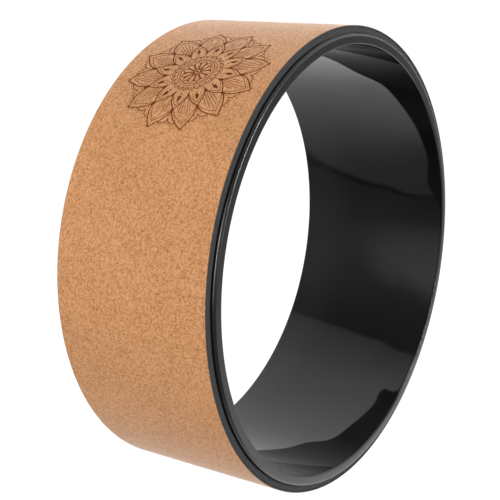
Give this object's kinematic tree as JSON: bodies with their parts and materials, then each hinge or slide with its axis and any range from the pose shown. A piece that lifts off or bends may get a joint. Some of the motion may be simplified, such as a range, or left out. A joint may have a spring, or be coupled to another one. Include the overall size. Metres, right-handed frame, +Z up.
{
  "type": "yoga wheel",
  "caption": "Open yoga wheel: a glossy plastic hoop with rounded lips, wrapped in a foam strip and a fine-grained cork sheet, for rolling out and supporting the back.",
  "frame": {"origin": "centre of the wheel: on its axle line, at half its width", "axes": "+Y along the axle line, +Z up as the wheel stands, +X the way it rolls"},
  "size_m": [0.33, 0.126, 0.33],
  "materials": {
    "hoop_plastic": "glossy moulded black plastic",
    "foam": "matte closed-cell foam, cut edge",
    "cork": "matte fine-grained pressed cork",
    "adhesive": "dried amber contact adhesive"
  },
  "bodies": {
    "root": {"inner_hoop": "hoop_plastic", "pad_adhesive": "adhesive", "foam_pad": "foam", "cork_adhesive": "adhesive", "cork_cover": "cork"}
  },
  "joints": []
}
